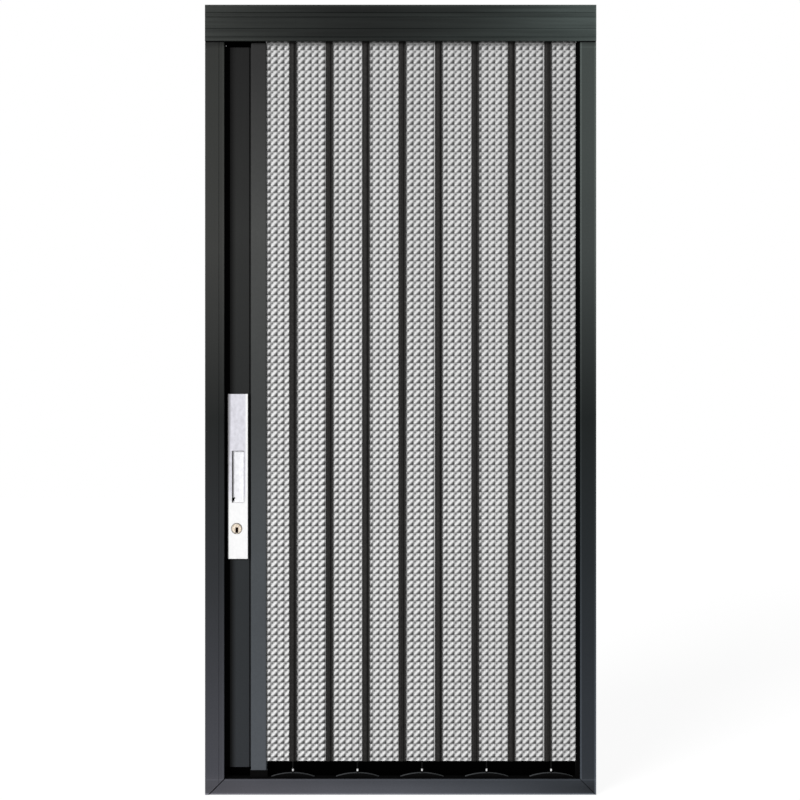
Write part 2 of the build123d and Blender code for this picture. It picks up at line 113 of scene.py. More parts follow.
# Painted light on each boss: a shade over all but its end, a painted highlight at that end, painted shade on
# its steep side and in its dimple
OFF_HIGHLIGHT_SHADE = 0.41
HIGHLIGHT_U = 0.895
HIGHLIGHT_V = 0.25
HIGHLIGHT_SIZE = 0.124
SIDE_SHADE = 0.88
SIDE_SHADE_LEAN = 0.447
SIDE_SHADE_FROM = 0.463
SIDE_SHADE_WIDTH = 0.195
SIDE_SHADE_EDGE = 0.03
DIMPLE_SHADE = 1.22

# Frame: its skin, the depth of its front lip, its sill's face, and the heights where the head's tone sets in
FRAME_SKIN = 0.0006
FRAME_LIP = 0.0052
SILL_FACE = 0.0417
HEAD_FOOT = 2.0
HEAD_FROM = 2.003

# Mitre seams at the foot of the frame; the right one is fainter
SEAM = 0.0017
RIGHT_SEAM = 0.4

# Tint of the frame at its left and its right side, and the streaks of its head
LEFT_TINT = (1.0, 0.99, 0.97)
RIGHT_TINT = (0.9, 1.01, 1.01)
STREAKS = 90.0
STREAKS_DARK = 0.7
STREAKS_PALE = 1.3

# Painted light on the frame: how much paler it gets, as shares of its tone
MIDDLE_HEIGHT = 1.05
ACROSS = 0.82
HEAD_ENDS = 11.0
HEAD_LEAN = 1.7
FOOT_MIDDLE = 0.25
FOOT_ENDS = -1.9
FOOT_FROM = 0.02
FOOT_TO = 0.045
JAMB_GLOW = 0.7
JAMB_EDGE = 0.0037
SILL_GLOW = 0.35
SILL_EDGE = 0.003
OVERLAP = 0.0002
RIM_GLOW = 2.4
RIM_FROM = 0.001
RIM_TO = 0.006

# Recess behind the lock, painted darker as shade: its tone as a share of the stile's, and the painted shadow
# in its left corner
RECESS = 0.36
RECESS_SHADE = 0.05
SHADE_FROM = 0.003
SHADE_TO = 0.0165

# Lock plate: stained above, painted shade along its left edge, and a painted highlight along its rims in its
# unstained colour
STAIN_FROM = 0.77
STAIN_TO = 0.80
RIM_SHIFT = 0.002
RIM_WIDTHS = (0.006, 0.002)
PLATE_SHADE = 0.2
PLATE_SHADE_FROM = 0.0015
PLATE_SHADE_WIDTHS = (0.0015, 0.008)
PLATE_SHADE_HEIGHTS = (0.8, 1.0)

# Painted shade around the finger pull: dark lines measured inwards from its sides, a painted shadow along the
# left and top and a dark seam on the right, a dark spot, and the depth where its hole begins to be painted
# dark
PULL_GAP = 0.0005
PULL_LINE_FROM = 0.0004
PULL_LEFT_LINE = 0.0023
PULL_TOP_LINE = 0.0006
PULL_DOT_WIDTH = 0.006
PULL_DOT_HEIGHTS = (0.004, 0.012)
PULL_FLOOR = 0.0063

# Key plug: its keyway painted dark as shade, measured from its middle, and the ring around it painted dark as
# shade on its rounded edge, as shares of its radius
KEYWAY_SIDES = (0.0034, 0.0042)
KEYWAY_LOW = 0.95
KEYWAY_HIGH = 0.3
KEYWAY_FRONT = 0.0008
RING_FROM = 0.97
RING_TO = 1.06
RING = 0.85

# Band of each guide pin painted bright as a glint, above its shoe
GLINT_FROM = 0.0045
GLINT_TO = 0.0105

# Waves of the patterns, a metre: clouds and stains, drawn or brushed lines, and the finest grain
COAT_CLOUD = 3.0
COAT_PEEL = 240.0
COAT_LINES = 260.0
COAT_GRAIN = 1400.0
SLAT_CLOUD = 9.0
SLAT_GRAIN = 900.0
PLATE_MOTTLE = 110.0
PLATE_BRUSHED = 1500.0
BRASS_STAIN = 420.0
RING_NOISE = 130.0
BRASS_GRAIN = 2600.0
STEEL_BLOOM = 120.0
PIN_BLOOM = 300.0
STEEL_GRAIN = 1800.0
BLACK_CLOUD = 40.0
BLACK_GRAIN = 2200.0

# Base colours of the metals, darkest and palest
SLAT_COLOURS = ((0.62, 0.62, 0.62), (0.68, 0.68, 0.68))
TRACK_COLOURS = ((0.4, 0.4, 0.41), (0.55, 0.55, 0.56))
PIN_COLOURS = ((0.5, 0.5, 0.5), (0.75, 0.75, 0.75))
BRASS_COLOURS = ((0.3, 0.2, 0.12), (0.85, 0.77, 0.65))
RING_COLOURS = ((0.04, 0.04, 0.035), (0.42, 0.37, 0.31))
KEYWAY_COLOUR = (0.012, 0.007, 0.004)
PLATE_STAINED = (0.565, 0.56, 0.61)
PLATE_CLEAN = (0.785, 0.785, 0.785)
# The finger pull is paler than the plate above it, partly as painted light against the shade of its recess
PULL_STAINED = (0.74, 0.74, 0.77)
PULL_CLEAN = (0.755, 0.755, 0.76)

# How metallic the metals are, and how much the dark finishes shine
SLAT_METALLIC = 0.45
PLATE_METALLIC = 0.2
BRASS_METALLIC = 0.3
TRACK_METALLIC = 0.85
PIN_METALLIC = 0.6
COAT_SHINE = 0.08
PIN_SHINE = 0.05
BLACK_SHINE = 0.03

# Camera
CAMERA_DISTANCE = 4.0
VIEW_WIDTH = 2.1252
SENSOR = 36.0
CAMERA_X = -0.0017
CAMERA_Z = 1.0493

# Light
SUN_DIRECTION = (0.66, 1.0, -0.33)
SUN_STRENGTH = 2.95
SUN_ANGLE = 26.0
FILL_STRENGTH = 0.25
FLOOR_SIZE = 24.0
FLOOR_GLOW = 0.89
FLOOR_SHOWN = 0.26
FLOOR_COLOUR = 0.9
FLOOR_ROUGHNESS = 0.9


def tone(*channels):
    """A colour by its red, green and blue as they show on screen, from 0 to 255."""
    return tuple(((c / 255 + 0.055) / 1.055) ** 2.4 if c > 10 else c / 255 / 12.92 for c in channels)


def grey(value, warm=0.0):
    """A grey as it shows on screen, leaning to red (warm) or to blue (negative)."""
    return tone(value + warm, value, value - warm)


def dimmed(colour, factor):
    """A colour with all its channels times a factor."""
    return tuple(factor * channel for channel in colour)


def new_material(name):
    """Make a material and return it with its node tree and its surface shader."""
    material = bpy.data.materials.new(name)
    material.use_nodes = True
    tree = material.node_tree
    return material, tree, tree.nodes["Principled BSDF"]


def add(tree, kind, **values):
    """Add a node and set its fields or its input sockets by name."""
    node = tree.nodes.new(kind)
    for key, value in values.items():
        if hasattr(node, key):
            setattr(node, key, value)
        else:
            node.inputs[key.replace("_", " ")].default_value = value
    return node


def place(tree, stretch=(1, 1, 1), shift=(0, 0, 0)):
    """Object coordinates in metres, stretched along the axes and then shifted."""
    coordinates = add(tree, "ShaderNodeTexCoord")
    mapping = add(tree, "ShaderNodeMapping", Scale=stretch, Location=shift)
    tree.links.new(coordinates.outputs["Object"], mapping.inputs["Vector"])
    return mapping.outputs["Vector"]


def along(tree, axis):
    """One of the object coordinates, by the name of its axis."""
    split = add(tree, "ShaderNodeSeparateXYZ")
    tree.links.new(place(tree), split.inputs["Vector"])
    return split.outputs[axis]


def noise(tree, scale, detail=3.0, stretch=(1, 1, 1), roughness=0.5):
    """A noise pattern with so many waves a metre."""
    node = add(tree, "ShaderNodeTexNoise", Scale=scale, Detail=detail, Roughness=roughness)
    tree.links.new(place(tree, stretch), node.inputs["Vector"])
    return node.outputs["Fac"]


def spread(tree, value, low, high, from_low=0.3, from_high=0.7):
    """Stretch a pattern's range to run between two values."""
    node = add(tree, "ShaderNodeMapRange", From_Min=from_low, From_Max=from_high, To_Min=low, To_Max=high)
    tree.links.new(value, node.inputs["Value"])
    return node.outputs["Result"]


def ramp(tree, value, stops):
    """Run a value from 0 to 1 through colours, as pairs of place and colour."""
    node = tree.nodes.new("ShaderNodeValToRGB")
    elements = node.color_ramp.elements
    while len(elements) < len(stops):
        elements.new(0.5)
    for element, (position, colour) in zip(elements, stops):
        element.position = position
        element.color = (*colour, 1.0)
    tree.links.new(value, node.inputs["Fac"])
    return node.outputs["Color"]


def tint(tree, value, low, high, from_low=0.3, from_high=0.7):
    """Run a pattern between two colours."""
    return ramp(tree, value, ((from_low, low), (from_high, high)))


def join(tree, node, values):
    """Give a node's first inputs their values, each a socket, a colour or a number."""
    for socket, value in zip(node.inputs, values):
        if isinstance(value, bpy.types.NodeSocket):
            tree.links.new(value, socket)
        elif isinstance(value, tuple):
            socket.default_value = (*value, 1.0)
        else:
            socket.default_value = value


def blend(tree, factor, first, second, mode="MIX"):
    """Mix two colours, each a socket or a colour, by a factor that is a socket or a number."""
    node = add(tree, "ShaderNodeMixRGB", blend_type=mode)
    join(tree, node, (factor, first, second))
    return node.outputs["Color"]


def shaded(tree, colour, factor):
    """A colour made paler or darker by a pattern, or tinted by another colour."""
    return blend(tree, 1.0, colour, factor, "MULTIPLY")


def maths(tree, operation, *values):
    """Join one to three numbers or sockets by an operation."""
    node = add(tree, "ShaderNodeMath", operation=operation)
    join(tree, node, values)
    return node.outputs["Value"]


def minus(tree, first, second):
    """The difference of two numbers or sockets."""
    return maths(tree, "SUBTRACT", first, second)


def product(tree, first, *others):
    """Numbers or sockets, multiplied."""
    for other in others:
        first = maths(tree, "MULTIPLY", first, other)
    return first


def total(tree, first, *others):
    """Numbers or sockets, added up."""
    for other in others:
        first = maths(tree, "ADD", first, other)
    return first


def either(tree, first, *others):
    """The largest of some masks."""
    for other in others:
        first = maths(tree, "MAXIMUM", first, other)
    return first


def within(tree, value, low, high):
    """One where a value lies between two limits, else zero."""
    return maths(tree, "COMPARE", value, (low + high) / 2, (high - low) / 2)


def bump(tree, shader, value, strength, distance):
    """Raise the surface by a pattern."""
    node = add(tree, "ShaderNodeBump", Strength=strength, Distance=distance)
    tree.links.new(value, node.inputs["Height"])
    tree.links.new(node.outputs["Normal"], shader.inputs["Normal"])


def by_height(tree, tones):
    """Run through tones from the floor to the head, as pairs of height and colour."""
    top = cad_bounds[1][2]
    height = maths(tree, "DIVIDE", along(tree, "Z"), top)
    return ramp(tree, height, [(z / top, colour) for z, colour in tones])


def inside(tree):
    """Mask of the hollows of the frame, which get painted shade: behind its front skin and within its
    outline.
    """
    low, high = cad_bounds
    x = maths(tree, "ABSOLUTE", along(tree, "X"))
    y = along(tree, "Y")
    z = along(tree, "Z")
    return product(
        tree,
        maths(tree, "LESS_THAN", x, high[0] - FRAME_SKIN),
        maths(tree, "GREATER_THAN", y, low[1] + FRAME_LIP),
        maths(tree, "LESS_THAN", y, high[1] - FRAME_SKIN),
        maths(tree, "GREATER_THAN", z, low[2] + FRAME_SKIN),
        maths(tree, "LESS_THAN", z, high[2] - FRAME_SKIN),
    )


def mitre_seams(tree):
    """Mask of the two mitre joints at the foot of the frame."""
    x = along(tree, "X")
    fall = minus(tree, SILL_FACE, along(tree, "Z"))
    low = maths(tree, "GREATER_THAN", fall, -SEAM)
    left = maths(tree, "COMPARE", minus(tree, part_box("left_jamb")[1].x, x), fall, SEAM)
    right = maths(tree, "COMPARE", minus(tree, x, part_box("right_jamb")[0].x), fall, SEAM)
    return product(tree, low, either(tree, left, product(tree, right, RIGHT_SEAM)))


def painted_sheen(tree):
    """Painted reflection and highlights: how much paler the frame is, from lower left to upper right, along
    its edges and at the head's ends.
    """
    low, high = cad_bounds
    x = along(tree, "X")
    z = along(tree, "Z")
    across = product(tree, minus(tree, z, MIDDLE_HEIGHT), product(tree, x, ACROSS))
    squared = product(tree, x, x)
    ends = maths(tree, "MULTIPLY_ADD", squared, HEAD_ENDS, product(tree, x, HEAD_LEAN))
    middle = maths(tree, "MULTIPLY_ADD", squared, FOOT_ENDS, FOOT_MIDDLE)
    head = product(tree, spread(tree, z, 0.0, 1.0, HEAD_FOOT, HEAD_FROM), ends)
    foot = product(tree, spread(tree, z, 1.0, 0.0, FOOT_FROM, FOOT_TO), middle)
    left = minus(tree, x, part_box("left_jamb")[1].x)
    right = minus(tree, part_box("right_jamb")[0].x, x)
    jamb = within(tree, maths(tree, "MINIMUM", left, right), -JAMB_EDGE, OVERLAP)
    inner = product(tree, jamb, within(tree, z, SILL_FACE, HEAD_FOOT))
    edge = within(tree, z, SILL_FACE - SILL_EDGE, SILL_FACE + OVERLAP)
    lip = maths(tree, "MULTIPLY_ADD", inner, JAMB_GLOW, product(tree, edge, SILL_GLOW))
    outer = maths(tree, "MINIMUM", z, minus(tree, high[2], z))
    outer = maths(tree, "MINIMUM", outer, minus(tree, high[0], x))
    rim = spread(tree, outer, RIM_GLOW, 0.0, RIM_FROM, RIM_TO)
    return total(tree, 1.0, across, head, foot, lip, rim)


def frame_colour(tree, colour):
    """The frame's painted sheen and highlights, its tint from side to side and the drawn streaks of the head.
    """
    colour = shaded(tree, colour, painted_sheen(tree))
    side = tint(tree, total(tree, along(tree, "X"), 0.5), LEFT_TINT, RIGHT_TINT, 0.05, 0.95)
    colour = shaded(tree, colour, side)
    drawn = noise(tree, STREAKS, detail=2.0, stretch=(0.03, 0.1, 1))
    streaks = spread(tree, drawn, STREAKS_DARK, STREAKS_PALE)
    head = maths(tree, "GREATER_THAN", along(tree, "Z"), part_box("head")[0].z)
    return blend(tree, head, colour, shaded(tree, colour, streaks))


def powder_coat(name, tones, roughness, speckle=0.06, hollow=False, corner=None):
    """Powder-coated metal: fine orange-peel grain, cloudy tone and drawn lines along the profile.

    The hollow frame also gets its painted sheen, painted shade in its hollows and dark seams. A corner is the
    x of an edge with painted shade.
    """
    material, tree, shader = new_material(name)
    cloud = spread(tree, noise(tree, COAT_CLOUD, detail=4.0, stretch=(1, 1, 0.5)), 0.82, 1.0)
    peel = spread(tree, noise(tree, COAT_PEEL, detail=2.0), 1 - speckle, 1 + speckle)
    colour = shaded(tree, by_height(tree, tones), product(tree, cloud, peel))
    if corner is not None:
        # Painted shadow along the corner's edge
        shade = spread(tree, along(tree, "X"), RECESS_SHADE, 1.0, corner + SHADE_FROM, corner + SHADE_TO)
        colour = shaded(tree, colour, shade)
    if hollow:
        # Hollows painted near black and without shine as shade; the mitre seams are dark joints
        dark = either(tree, inside(tree), mitre_seams(tree))
        colour = blend(tree, dark, frame_colour(tree, colour), grey(2))
        tree.links.new(dark, shader.inputs["Metallic"])
    tree.links.new(colour, shader.inputs["Base Color"])
    lines = noise(tree, COAT_LINES, detail=2.0, stretch=(1, 1, 0.01))
    tree.links.new(spread(tree, lines, roughness - 0.05, roughness + 0.07), shader.inputs["Roughness"])
    bump(tree, shader, noise(tree, COAT_GRAIN, detail=2.0), strength=0.1, distance=0.0002)
    shader.inputs["Specular IOR Level"].default_value = COAT_SHINE
    return material


def slat_metal():
    """Silver-grey embossed aluminium with a fine rolled grain, with painted shade on the steep side of each
    boss and a painted highlight at its end.
    """
    material, tree, shader = new_material("slat_metal")
    cloud = noise(tree, SLAT_CLOUD, detail=4.0, stretch=(1, 1, 0.4))
    bare = tint(tree, cloud, *SLAT_COLOURS)
    painted_light = add(tree, "ShaderNodeAttribute", attribute_name="painted_light").outputs["Fac"]
    tree.links.new(blend(tree, painted_light, bare, grey(12)), shader.inputs["Base Color"])
    rolled = noise(tree, SLAT_GRAIN, stretch=(1, 1, 0.08))
    tree.links.new(spread(tree, rolled, 0.5, 0.6), shader.inputs["Roughness"])
    bump(tree, shader, rolled, strength=0.05, distance=0.0002)
    shader.inputs["Metallic"].default_value = SLAT_METALLIC
    return material


def pull_painted_shade(tree):
    """Mask of the painted shade around the finger pull: dark lines, widest along its left side as a painted
    shadow, a dark spot at its lower left, and the dark inside its hole.
    """
    low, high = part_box("finger_pull")
    x = along(tree, "X")
    z = along(tree, "Z")
    beside = within(tree, x, low.x - PULL_GAP, high.x + PULL_GAP)
    level = within(tree, z, low.z - PULL_GAP, high.z + PULL_GAP)
    left = within(tree, x, low.x + PULL_LINE_FROM, low.x + PULL_LEFT_LINE)
    right = within(tree, x, high.x - PULL_LINE_FROM, high.x + PULL_GAP)
    top = within(tree, z, high.z - PULL_TOP_LINE, high.z + PULL_GAP)
    dot_side = within(tree, x, low.x, low.x + PULL_DOT_WIDTH)
    dot_level = within(tree, z, low.z + PULL_DOT_HEIGHTS[0], low.z + PULL_DOT_HEIGHTS[1])
    return either(
        tree,
        maths(tree, "GREATER_THAN", along(tree, "Y"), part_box("lock_cover")[0].y + PULL_FLOOR),
        product(tree, level, left),
        product(tree, level, right),
        product(tree, beside, top),
        product(tree, dot_side, dot_level),
    )


def lock_metal(name, stain, bright):
    """Pale satin metal: cloudy and greyer in its upper half, clean and bright below, with a painted highlight
    at its rims and painted shade along its left edge and around the finger pull.
    """
    material, tree, shader = new_material(name)
    low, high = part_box("lock_cover")
    mottle = noise(tree, PLATE_MOTTLE, detail=4.0, stretch=(1, 1, 0.7), roughness=0.6)
    stained = tint(tree, mottle, dimmed(stain, 0.88), dimmed(stain, 1.12))
    bare = tint(tree, mottle, dimmed(bright, 0.96), dimmed(bright, 1.04))
    x = along(tree, "X")
    z = along(tree, "Z")
    upper = spread(tree, z, 0.0, 1.0, STAIN_FROM, STAIN_TO)
    # Rims kept in the bright colour as a painted highlight
    offset = minus(tree, x, (low.x + high.x) / 2 - RIM_SHIFT)
    half = (high.x - low.x) / 2
    rim = spread(tree, maths(tree, "ABSOLUTE", offset), 1.0, 0.0, *(half - width for width in RIM_WIDTHS))
    colour = blend(tree, product(tree, upper, rim), bare, stained)
    # Painted shadow along the plate's left edge
    width = spread(tree, z, *PLATE_SHADE_WIDTHS, *PLATE_SHADE_HEIGHTS)
    side = maths(tree, "DIVIDE", minus(tree, x, low.x + PLATE_SHADE_FROM), width)
    colour = shaded(tree, colour, spread(tree, side, PLATE_SHADE, 1.0, 0.0, 1.0))
    # Painted shade around the finger pull: near black and without shine
    dark = pull_painted_shade(tree)
    tree.links.new(blend(tree, dark, colour, grey(6)), shader.inputs["Base Color"])
    tree.links.new(spread(tree, dark, PLATE_METALLIC, 1.0, 0.0, 1.0), shader.inputs["Metallic"])
    brushed = noise(tree, PLATE_BRUSHED, detail=2.0, stretch=(1, 1, 0.02))
    tree.links.new(spread(tree, brushed, 0.34, 0.48), shader.inputs["Roughness"])
    bump(tree, shader, brushed, strength=0.04, distance=0.0002)
    return material


def brass():
    """Pale worn brass with turning marks and darker stains, a keyway painted dark as shade, and a dark ring
    around the plug painted as shade on its rounded edge.
    """
    material, tree, shader = new_material("lock_brass")
    low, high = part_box("key_plug")
    middle = (low + high) / 2
    radius = (high.x - low.x) / 2
    stain = noise(tree, BRASS_STAIN, detail=4.0, roughness=0.7)
    colour = tint(tree, stain, *BRASS_COLOURS, 0.4, 0.56)
    distance = add(tree, "ShaderNodeVectorMath", operation="LENGTH")
    tree.links.new(place(tree, (1, 0, 1), (-middle.x, 0, -middle.z)), distance.inputs[0])
    ring = spread(tree, distance.outputs["Value"], 0.0, RING, radius * RING_FROM, radius * RING_TO)
    ring_shade = tint(tree, noise(tree, RING_NOISE, detail=2.0), *RING_COLOURS, 0.42, 0.58)
    colour = blend(tree, ring, colour, ring_shade)
    # Keyway and the plug's hidden depth painted near black as shade
    beside = within(tree, along(tree, "X"), middle.x - KEYWAY_SIDES[0], middle.x + KEYWAY_SIDES[1])
    level = within(tree, along(tree, "Z"), middle.z - KEYWAY_LOW * radius, middle.z + KEYWAY_HIGH * radius)
    deep = maths(tree, "GREATER_THAN", along(tree, "Y"), low.y + KEYWAY_FRONT)
    dark = either(tree, deep, product(tree, beside, level))
    tree.links.new(blend(tree, dark, colour, KEYWAY_COLOUR), shader.inputs["Base Color"])
    tree.links.new(spread(tree, dark, BRASS_METALLIC, 1.0, 0.0, 1.0), shader.inputs["Metallic"])
    tree.links.new(spread(tree, stain, 0.5, 0.35), shader.inputs["Roughness"])
    bump(tree, shader, noise(tree, BRASS_GRAIN, detail=2.0), strength=0.06, distance=0.0001)
    return material


def steel(name, colours, roughness):
    """Zinc-plated or mill-finished metal with a cloudy bloom."""
    material, tree, shader = new_material(name)
    bloom = noise(tree, STEEL_BLOOM, detail=4.0)
    tree.links.new(tint(tree, bloom, *colours), shader.inputs["Base Color"])
    tree.links.new(spread(tree, bloom, roughness - 0.06, roughness + 0.08), shader.inputs["Roughness"])
    grain = noise(tree, STEEL_GRAIN, detail=2.0, stretch=(1, 1, 0.2))
    bump(tree, shader, grain, strength=0.06, distance=0.0001)
    shader.inputs["Metallic"].default_value = TRACK_METALLIC
    return material


def pin_steel():
    """Blackened steel whose darkness partly stands for shade, with a painted glint in a short band above the
    guide shoes.
    """
    material, tree, shader = new_material("pin_steel")
    shoe_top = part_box("guide_shoes")[1].z
    glint = within(tree, along(tree, "Z"), shoe_top + GLINT_FROM, shoe_top + GLINT_TO)
    bloom = noise(tree, PIN_BLOOM, detail=4.0)
    bright = tint(tree, bloom, *PIN_COLOURS)
    tree.links.new(blend(tree, glint, grey(8), bright), shader.inputs["Base Color"])
    tree.links.new(spread(tree, bloom, 0.3, 0.45), shader.inputs["Roughness"])
    grain = noise(tree, STEEL_GRAIN, detail=2.0, stretch=(1, 1, 0.2))
    bump(tree, shader, grain, strength=0.06, distance=0.0001)
    tree.links.new(product(tree, glint, PIN_METALLIC), shader.inputs["Metallic"])
    shader.inputs["Specular IOR Level"].default_value = PIN_SHINE
    return material


def dull_black(name, low, high, roughness, lit_top=None):
    """Black rubber, nylon or coating with a fine grain; the faces that look up can be painted paler, as light
    from above.
    """
    material, tree, shader = new_material(name)
    cloud = noise(tree, BLACK_CLOUD, detail=5.0)
    colour = tint(tree, cloud, low, high)
    if lit_top is not None:
        split = add(tree, "ShaderNodeSeparateXYZ")
        geometry = add(tree, "ShaderNodeNewGeometry")
        tree.links.new(geometry.outputs["Normal"], split.inputs["Vector"])
        colour = blend(tree, spread(tree, split.outputs["Z"], 0.0, 1.0, 0.3, 0.9), colour, lit_top)
    tree.links.new(colour, shader.inputs["Base Color"])
    tree.links.new(spread(tree, cloud, roughness, roughness + 0.1), shader.inputs["Roughness"])
    bump(tree, shader, noise(tree, BLACK_GRAIN, detail=2.0), strength=0.06, distance=0.0001)
    shader.inputs["Specular IOR Level"].default_value = BLACK_SHINE
    return material


# Tones by height are painted reflection and shade: paler at the foot, darkest around mid-height and darker
# again at the top
FRAME_TONES = (
    (0.0, tone(73, 73, 79)),
    (0.06, tone(59, 60, 66)),
    (0.6, tone(38, 40, 43)),
    (1.0, tone(25, 27, 27)),
    (1.45, tone(60, 61, 60)),
    (1.99, tone(57, 59, 57)),
    (2.004, tone(27, 29, 28)),
)
STILE_TONES = (
    (0.1, tone(79, 83, 88)),
    (0.6, tone(72, 76, 79)),
    (1.0, tone(61, 63, 63)),
    (1.5, tone(71, 72, 71)),
    (1.95, grey(44)),
)
HINGE_TONES = (
    (0.1, grey(37, 1)),
    (1.95, grey(41, 1)),
)
# The recess gets the stile's tones painted darker as shade
RECESS_TONES = tuple((height, dimmed(colour, RECESS)) for height, colour in STILE_TONES)

materials = {
    "frame_coat": powder_coat("frame_coat", FRAME_TONES, 0.5, hollow=True),
    "stile_coat": powder_coat("stile_coat", STILE_TONES, 0.5),
    "shaded_recess_coat": powder_coat("shaded_recess_coat", RECESS_TONES, 0.5, corner=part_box("lock_stile")[0].x),
    "hinge_coat": powder_coat("hinge_coat", HINGE_TONES, 0.6, speckle=0.4),
    # Rail and seals near black and almost without shine: black finishes, darkened further as painted shade
    # for the gaps they fill
    "rail_coat": dull_black("rail_coat", grey(2), grey(5), 0.8),
    "track_metal": steel("track_metal", TRACK_COLOURS, 0.4),
    "slat_metal": slat_metal(),
    "seal_rubber": dull_black("seal_rubber", grey(1), grey(4), 0.85),
    # Shoes painted paler on their upward faces as light from above
    "slider_plastic": dull_black("slider_plastic", grey(4), grey(9), 0.8, lit_top=grey(80, -2)),
    "lock_metal": lock_metal("lock_metal", PLATE_STAINED, PLATE_CLEAN),
    "pull_metal": lock_metal("pull_metal", PULL_STAINED, PULL_CLEAN),
    "lock_brass": brass(),
    "pin_steel": pin_steel(),
}

# Pieces whose material is a variant of their slot's one: the lock stile's painted darker as shade, the finger
# pull's paler, partly as painted light against the shade of its recess
OWN_FINISH = {"lock_stile": "shaded_recess_coat", "finger_pull": "pull_metal"}


def paint(piece, material):
    """Give a piece one material."""
    piece.data.materials.clear()
    piece.data.materials.append(material)


for part in frame["record"]["subparts"]:
    paint(nodes[part["node"]], materials[OWN_FINISH.get(part["node"], part["material_slot"])])


def boss(u, v):
    """Height of the embossing in its cell: a plane up to the right and down, steep flanks, a dimple."""
    rise = np.maximum(((u + v) / 2 - RISE_FROM) / RISE, 0)
    right = (1 - u) / (FLANK_RIGHT * (TAPER + (1 - TAPER) * v))
    low = (1 - v) / (FLANK_LOW * (TAPER + (1 - TAPER) * u))
    sides = [rise, right, low, u / EDGE, v / EDGE]
    height = -SOFTNESS * np.log(sum(np.exp(-side / SOFTNESS) for side in sides))
    return np.maximum(height, 0) - DIMPLE_DEPTH * dimple(u, v)


def spot(u, v, centre_u, centre_v, size):
    """A soft round spot in the cell."""
    return np.exp(-((u - centre_u) ** 2 + (v - centre_v) ** 2) / (2 * size**2))


def dimple(u, v):
    """Small round hollow near the upper left corner of the cell."""
    return spot(u, v, DIMPLE_U, DIMPLE_V, DIMPLE_SIZE)


def boss_shading(u, v):
    """How much painted shade the sheet gets: least at the painted highlight, most on the steep side and in
    the dimple.
    """
    t = np.clip((u * (1 - SIDE_SHADE_LEAN) + v * SIDE_SHADE_LEAN - SIDE_SHADE_FROM) / SIDE_SHADE_WIDTH, 0, 1)
    steep = t * t * (3 - 2 * t) * np.clip((1 - u) / SIDE_SHADE_EDGE, 0, 1) * np.clip((1 - v) / SIDE_SHADE_EDGE, 0, 1)
    off_highlight = OFF_HIGHLIGHT_SHADE * (1 - spot(u, v, HIGHLIGHT_U, HIGHLIGHT_V, HIGHLIGHT_SIZE))
    dark = SIDE_SHADE * np.maximum(steep, DIMPLE_SHADE * dimple(u, v))
    return np.minimum(off_highlight + (1 - OFF_HIGHLIGHT_SHADE) * dark, 1)


samples = np.linspace(0, 1, CREST_SAMPLES)
crest = boss(*np.meshgrid(samples, samples)).max()
unit = RELIEF / (crest + DIMPLE_DEPTH)


def grid_lines(low, high, origin, steps):
    """Places between two limits that fall on the embossing's grid, so many to a cell."""
    step = CELL / steps
    first = math.floor((low - origin) / step) + 1
    last = math.ceil((high - origin) / step) - 1
    return [origin + i * step for i in range(first, last + 1)]


def sheet_side(low, high, steps, y_crest):
    """Points, painted shading and grid size of one side of a sheet whose crests lie at a given depth."""
    left = low.x + TONGUE
    right = high.x - TONGUE
    inner = grid_lines(left + EDGE_FADE, right - EDGE_FADE, CELL_X, steps)
    xs = np.array([left, left + EDGE_FADE, *inner, right - EDGE_FADE, right])
    zs = np.array([low.z, *grid_lines(low.z, high.z, CELL_Z, steps), high.z])
    x, z = np.meshgrid(xs, zs)
    u = np.mod((x - CELL_X) / CELL, 1.0)
    v = np.mod((CELL_Z - z) / CELL, 1.0)
    fade = np.clip(np.minimum(x - left, right - x) / EDGE_FADE, 0, 1)
    y = y_crest + unit * (crest - boss(u, v) * fade)
    return np.stack([x, y, z], -1).reshape(-1, 3), (boss_shading(u, v) * fade).ravel(), x.shape


def quads(index):
    """Faces of a grid of points, seen from its front."""
    corners = (index[:-1, :-1], index[:-1, 1:], index[1:, 1:], index[1:, :-1])
    return np.stack(corners, -1).reshape(-1, 4)


def tongue(x0, x1, low, high):
    """Points of the flat edge of a slat, which slides into a hinge profile."""
    y = (low.y + high.y) / 2
    half = TONGUE_THICKNESS / 2
    return [(x, y + side * half, z) for z in (low.z, high.z) for side in (-1, 1) for x in (x0, x1)]


BOX_FACES = ((0, 2, 3, 1), (4, 5, 7, 6), (0, 1, 5, 4), (3, 2, 6, 7), (2, 0, 4, 6), (1, 3, 7, 5))


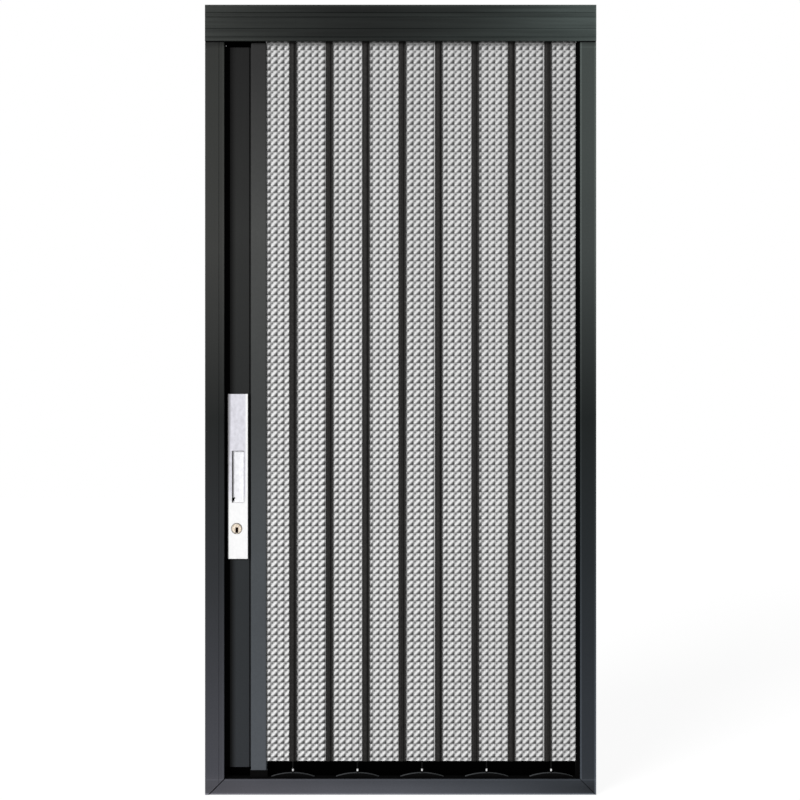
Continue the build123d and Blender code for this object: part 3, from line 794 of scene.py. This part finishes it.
def embossed_slat(node):
    """The sheet of one slat, embossed on the grid that all the slats share, with its flat edges."""
    low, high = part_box(node)
    front, front_shading, front_size = sheet_side(low, high, FRONT_STEPS, low.y)
    back, back_shading, back_size = sheet_side(low, high, BACK_STEPS, low.y + SHEET)
    f = np.arange(len(front)).reshape(front_size)
    b = np.arange(len(back)).reshape(back_size) + len(front)
    faces = quads(f).tolist() + quads(b)[:, ::-1].tolist()
    faces.append([*b[0], *f[0, ::-1]])
    faces.append([*f[-1], *b[-1, ::-1]])
    faces.append([*f[:, 0], *b[::-1, 0]])
    faces.append([*b[:, -1], *f[::-1, -1]])
    points = front.tolist() + back.tolist()
    levels = [*front_shading, *back_shading]
    for x0, x1 in ((low.x, low.x + TONGUE + HEM), (high.x - TONGUE - HEM, high.x)):
        faces += [[len(points) + corner for corner in face] for face in BOX_FACES]
        points += tongue(x0, x1, low, high)
    levels += [0.0] * (len(points) - len(levels))
    mesh = bpy.data.meshes.new(node + "_embossed")
    mesh.from_pydata(points, [], [[int(i) for i in face] for face in faces])
    mesh.polygons.foreach_set("use_smooth", [True] * len(mesh.polygons))
    mesh.set_sharp_from_angle(angle=math.radians(SHARP_FROM))
    # Each point's painted shade and highlight, as the slat material reads it
    mesh.attributes.new("painted_light", "FLOAT", "POINT").data.foreach_set("value", levels)
    piece = bpy.data.objects.new(node + "_embossed", mesh)
    bpy.context.scene.collection.objects.link(piece)
    paint(piece, materials["slat_metal"])
    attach(piece, body_of[node])
    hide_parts(node)


for name in sorted(nodes):
    if name.startswith("slat_"):
        embossed_slat(name)


def shown(tree):
    """One where a ray from the camera, a reflection or a pane meets the surface, else zero."""
    path = add(tree, "ShaderNodeLightPath")
    rays = ("Is Camera Ray", "Is Glossy Ray", "Is Transmission Ray")
    return either(tree, *(path.outputs[ray] for ray in rays))


def floor():
    """A floor that shows white and keeps the object's shadow."""
    bpy.ops.mesh.primitive_plane_add(size=FLOOR_SIZE, location=(0, 0, cad_bounds[0][2]))
    plane = bpy.context.object
    plane.name = "studio_floor"
    material, tree, shader = new_material("studio_floor")
    shader.inputs["Base Color"].default_value = (FLOOR_COLOUR, FLOOR_COLOUR, FLOOR_COLOUR, 1)
    shader.inputs["Roughness"].default_value = FLOOR_ROUGHNESS
    matt = add(tree, "ShaderNodeBsdfDiffuse", Color=(FLOOR_SHOWN, FLOOR_SHOWN, FLOOR_SHOWN, 1))
    glow = add(tree, "ShaderNodeEmission", Color=(1, 1, 1, 1), Strength=FLOOR_GLOW)
    both = add(tree, "ShaderNodeAddShader")
    mix = add(tree, "ShaderNodeMixShader")
    tree.links.new(matt.outputs[0], both.inputs[0])
    tree.links.new(glow.outputs[0], both.inputs[1])
    tree.links.new(shown(tree), mix.inputs["Fac"])
    tree.links.new(shader.outputs[0], mix.inputs[1])
    tree.links.new(both.outputs[0], mix.inputs[2])
    tree.links.new(mix.outputs[0], tree.nodes["Material Output"].inputs["Surface"])
    plane.data.materials.append(material)


def world():
    """Even fill light, with a white background where the world is seen."""
    scene_world = bpy.data.worlds.new("studio")
    bpy.context.scene.world = scene_world
    scene_world.use_nodes = True
    tree = scene_world.node_tree
    fill = tree.nodes["Background"]
    fill.inputs["Color"].default_value = (1, 1, 1, 1)
    fill.inputs["Strength"].default_value = FILL_STRENGTH
    white = add(tree, "ShaderNodeBackground", Color=(1, 1, 1, 1), Strength=1.0)
    mix = add(tree, "ShaderNodeMixShader")
    tree.links.new(shown(tree), mix.inputs["Fac"])
    tree.links.new(fill.outputs[0], mix.inputs[1])
    tree.links.new(white.outputs[0], mix.inputs[2])
    tree.links.new(mix.outputs[0], tree.nodes["World Output"].inputs["Surface"])


def sun():
    """Soft key light from above left, in front of the door."""
    lamp = bpy.data.lights.new("key", "SUN")
    lamp.energy = SUN_STRENGTH
    lamp.angle = math.radians(SUN_ANGLE)
    holder = bpy.data.objects.new("key", lamp)
    holder.rotation_euler = Vector(SUN_DIRECTION).to_track_quat("-Z", "Y").to_euler()
    bpy.context.scene.collection.objects.link(holder)


def camera():
    """Level camera straight in front, at the height and distance of the photograph."""
    lens = bpy.data.cameras.new("camera")
    lens.sensor_width = SENSOR
    lens.lens = SENSOR * CAMERA_DISTANCE / VIEW_WIDTH
    holder = bpy.data.objects.new("camera", lens)
    holder.location = (CAMERA_X, cad_bounds[0][1] - CAMERA_DISTANCE, CAMERA_Z)
    holder.rotation_euler = (math.radians(90), 0, 0)
    bpy.context.scene.collection.objects.link(holder)
    bpy.context.scene.camera = holder


floor()
world()
sun()
camera()
bpy.context.scene.view_settings.view_transform = "Standard"
